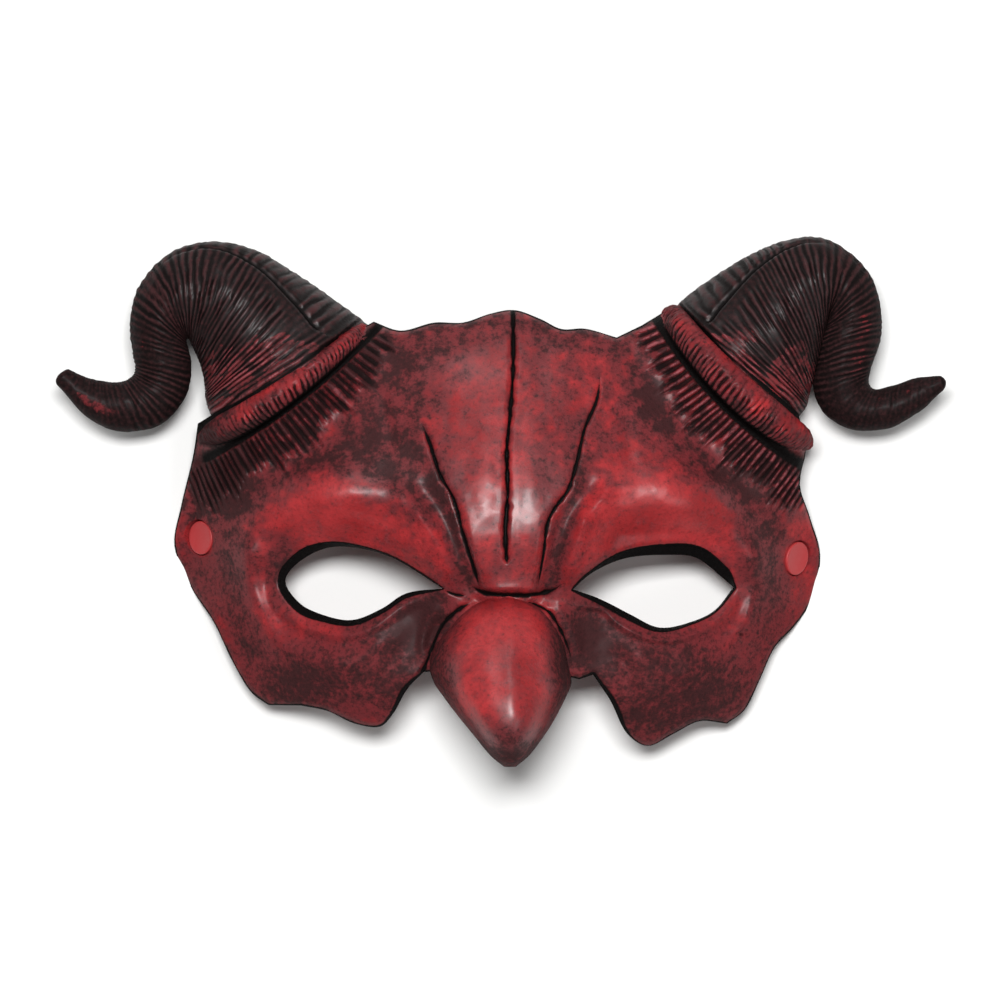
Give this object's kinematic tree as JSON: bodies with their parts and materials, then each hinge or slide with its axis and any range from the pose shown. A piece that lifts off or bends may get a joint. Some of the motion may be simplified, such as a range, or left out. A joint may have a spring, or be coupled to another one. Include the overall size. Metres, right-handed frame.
{
  "type": "devil half mask",
  "caption": "Moulded latex half mask of a horned devil with eye openings, a hooked nose, ribbed collars under curled horns and a strap stud at each temple.",
  "frame": {"origin": "middle of the box round the mask, on the plane that the temples and the horns' roots rest on", "axes": "+X across the face to the picture's right, +Y from the nose to the forehead, +Z out of the face and up as the mask lies on its open back"},
  "size_m": [0.2303, 0.1379, 0.0589],
  "materials": {
    "latex": "semi-gloss painted latex, red with a black wash in the grooves and on the horns",
    "stud": "satin, a lighter red"
  },
  "bodies": {
    "root": {"mask": "latex", "strap_stud_left": "stud", "strap_stud_right": "stud"}
  },
  "joints": []
}
